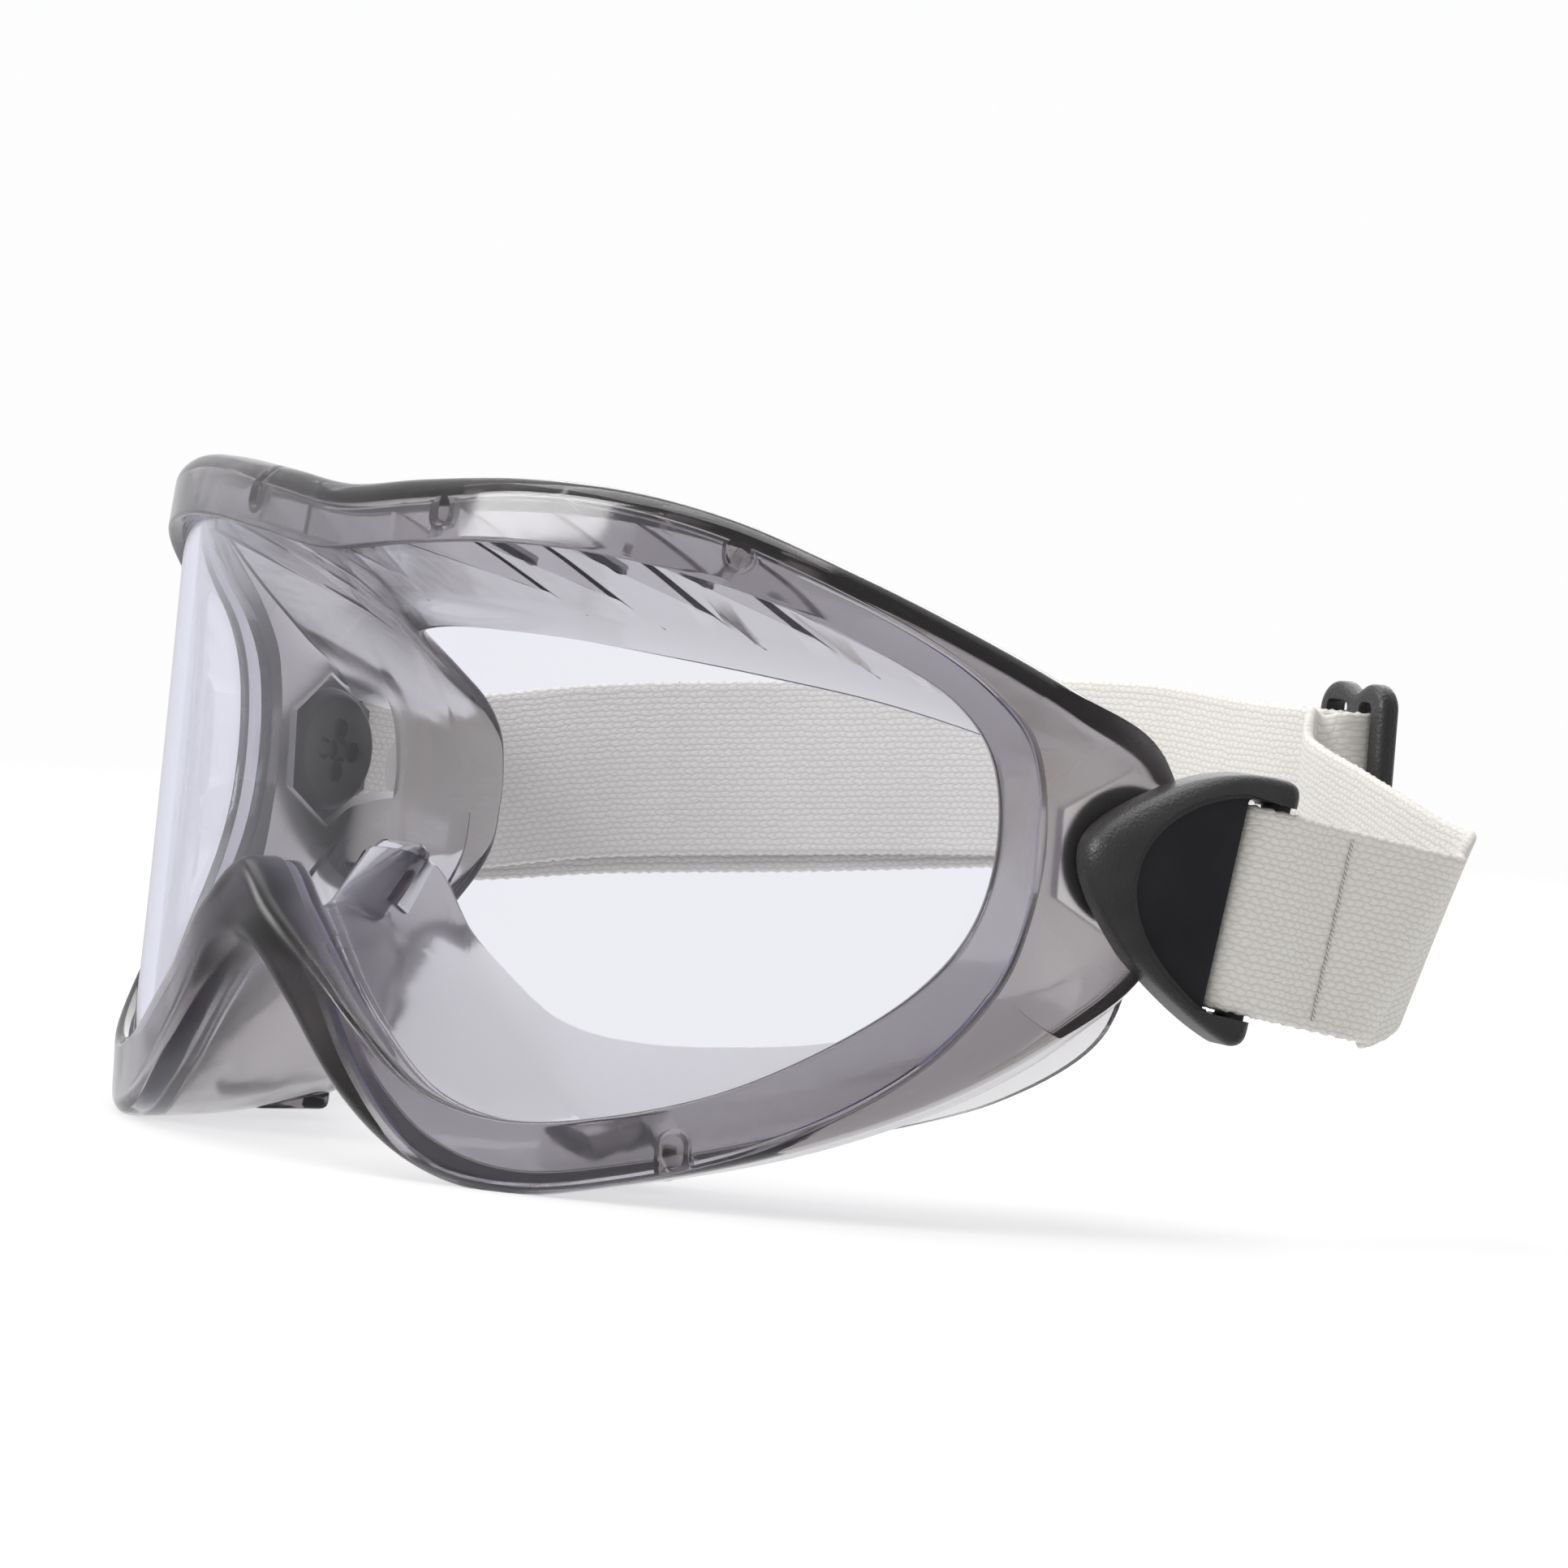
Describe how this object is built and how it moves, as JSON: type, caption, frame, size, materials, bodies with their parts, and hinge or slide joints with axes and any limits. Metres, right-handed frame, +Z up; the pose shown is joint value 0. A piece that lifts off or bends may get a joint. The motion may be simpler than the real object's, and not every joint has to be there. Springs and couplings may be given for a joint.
{
  "type": "safety goggles",
  "caption": "Ventilated wrap-round safety goggles: soft smoke-tinted frame, clear lens, swivelling strap clips and an elastic head strap with a slider.",
  "frame": {"origin": "bottom centre of the whole object's box, on the plane the frame's cheeks stand on", "axes": "+X towards the wearer's left, -Y forwards out of the lens, +Z up"},
  "size_m": [0.2022, 0.1532, 0.0862],
  "materials": {
    "soft_frame": "satin, translucent smoke",
    "lens": "polished, clear",
    "black_plastic": "satin grain",
    "elastic": "woven",
    "thread": "sewing thread"
  },
  "bodies": {
    "goggles": {"frame": "soft_frame", "lens": "lens", "left_strap_run": "elastic", "rear_strap_inner": "elastic", "rear_strap_outer": "elastic"},
    "left_clip_body": {"left_clip": "black_plastic", "left_snap_button": "black_plastic", "left_strap_loop": "elastic", "left_seam_thread": "thread"},
    "right_clip_body": {"right_clip": "black_plastic", "right_snap_button": "black_plastic", "right_strap_loop": "elastic"},
    "slider_body": {"slider": "black_plastic", "slider_strap_loop": "elastic", "slider_strap_weave": "elastic", "slider_seam_thread": "thread"}
  },
  "joints": [
    {"name": "left_clip_swivel", "type": "hinge", "parent": "goggles", "child": "left_clip_body", "pos_m": [0.08635, -0.00952, 0.0462], "axis": [0.9681, -0.2504, 0], "range_deg": [-25, 35]},
    {"name": "right_clip_swivel", "type": "hinge", "parent": "goggles", "child": "right_clip_body", "pos_m": [-0.08876, -0.00952, 0.0462], "axis": [0.9681, 0.2504, 0], "range_deg": [-25, 35]},
    {"name": "slider_travel", "type": "slide", "parent": "goggles", "child": "slider_body", "axis": [0.9903, -0.1392, 0], "range_m": [-0.01, 0.006]}
  ]
}
